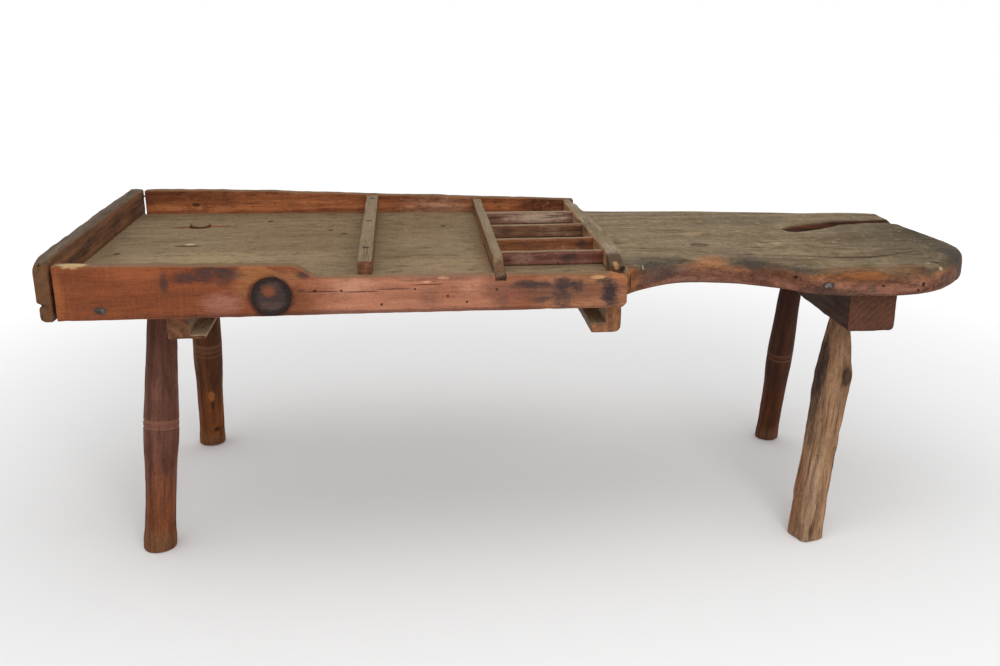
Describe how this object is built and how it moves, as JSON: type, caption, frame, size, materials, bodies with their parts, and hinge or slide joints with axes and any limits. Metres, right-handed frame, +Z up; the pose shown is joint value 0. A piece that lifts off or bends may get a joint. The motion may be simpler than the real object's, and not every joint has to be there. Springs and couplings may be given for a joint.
{
  "type": "cobblers bench",
  "caption": "Old wooden cobbler's bench: a thick plank with a waisted, rounded seat at one end and a low railed tool tray with compartments at the other, on splayed legs.",
  "frame": {"origin": "on the floor, at the middle of the bench's footprint box", "axes": "+X along the bench from the tray to the seat, +Y from the front rail to the back rail, +Z up"},
  "size_m": [1.3298, 0.5363, 0.454],
  "materials": {
    "weathered_plank": "dry weathered grey-brown, worn and stained",
    "red_brown_board": "old red-brown stain, worn and stained",
    "grey_brown_board": "dull grey-brown, worn along the edges",
    "dark_red_wood": "dark red-brown, dull",
    "tan_branch_wood": "bare hewn branch, tan and grey",
    "grey_iron": "old grey iron, slightly rusted"
  },
  "bodies": {
    "root": {"bench_plank": "weathered_plank", "front_rail": "red_brown_board", "back_rail": "red_brown_board", "partition_1": "red_brown_board", "partition_2": "red_brown_board", "partition_3": "red_brown_board", "partition_4": "red_brown_board", "end_board": "grey_brown_board", "cross_divider": "grey_brown_board", "compartment_divider": "grey_brown_board", "tray_end_wall": "grey_brown_board", "front_tray_leg": "dark_red_wood", "back_tray_leg": "dark_red_wood", "back_seat_leg": "dark_red_wood", "seat_cleat": "dark_red_wood", "left_drawer_runner": "dark_red_wood", "right_drawer_runner": "dark_red_wood", "front_seat_leg": "tan_branch_wood", "front_rail_nail_1": "grey_iron", "front_rail_nail_2": "grey_iron", "front_rail_nail_3": "grey_iron", "front_rail_nail_4": "grey_iron", "front_rail_nail_5": "grey_iron", "front_rail_nail_6": "grey_iron", "front_rail_nail_7": "grey_iron", "front_rail_nail_8": "grey_iron", "back_rail_nail_1": "grey_iron", "back_rail_nail_2": "grey_iron", "back_rail_nail_3": "grey_iron", "back_rail_nail_4": "grey_iron", "back_rail_nail_5": "grey_iron", "back_rail_nail_6": "grey_iron", "end_board_nail_1": "grey_iron", "end_board_nail_2": "grey_iron", "end_board_nail_3": "grey_iron", "end_board_nail_4": "grey_iron", "cross_divider_nail_1": "grey_iron", "cross_divider_nail_2": "grey_iron", "cross_divider_nail_3": "grey_iron", "left_runner_nail_1": "grey_iron", "left_runner_nail_2": "grey_iron", "right_runner_nail_1": "grey_iron", "right_runner_nail_2": "grey_iron", "cleat_nail_1": "grey_iron", "cleat_nail_2": "grey_iron", "cleat_nail_3": "grey_iron", "seat_edge_nail": "grey_iron"}
  },
  "joints": []
}
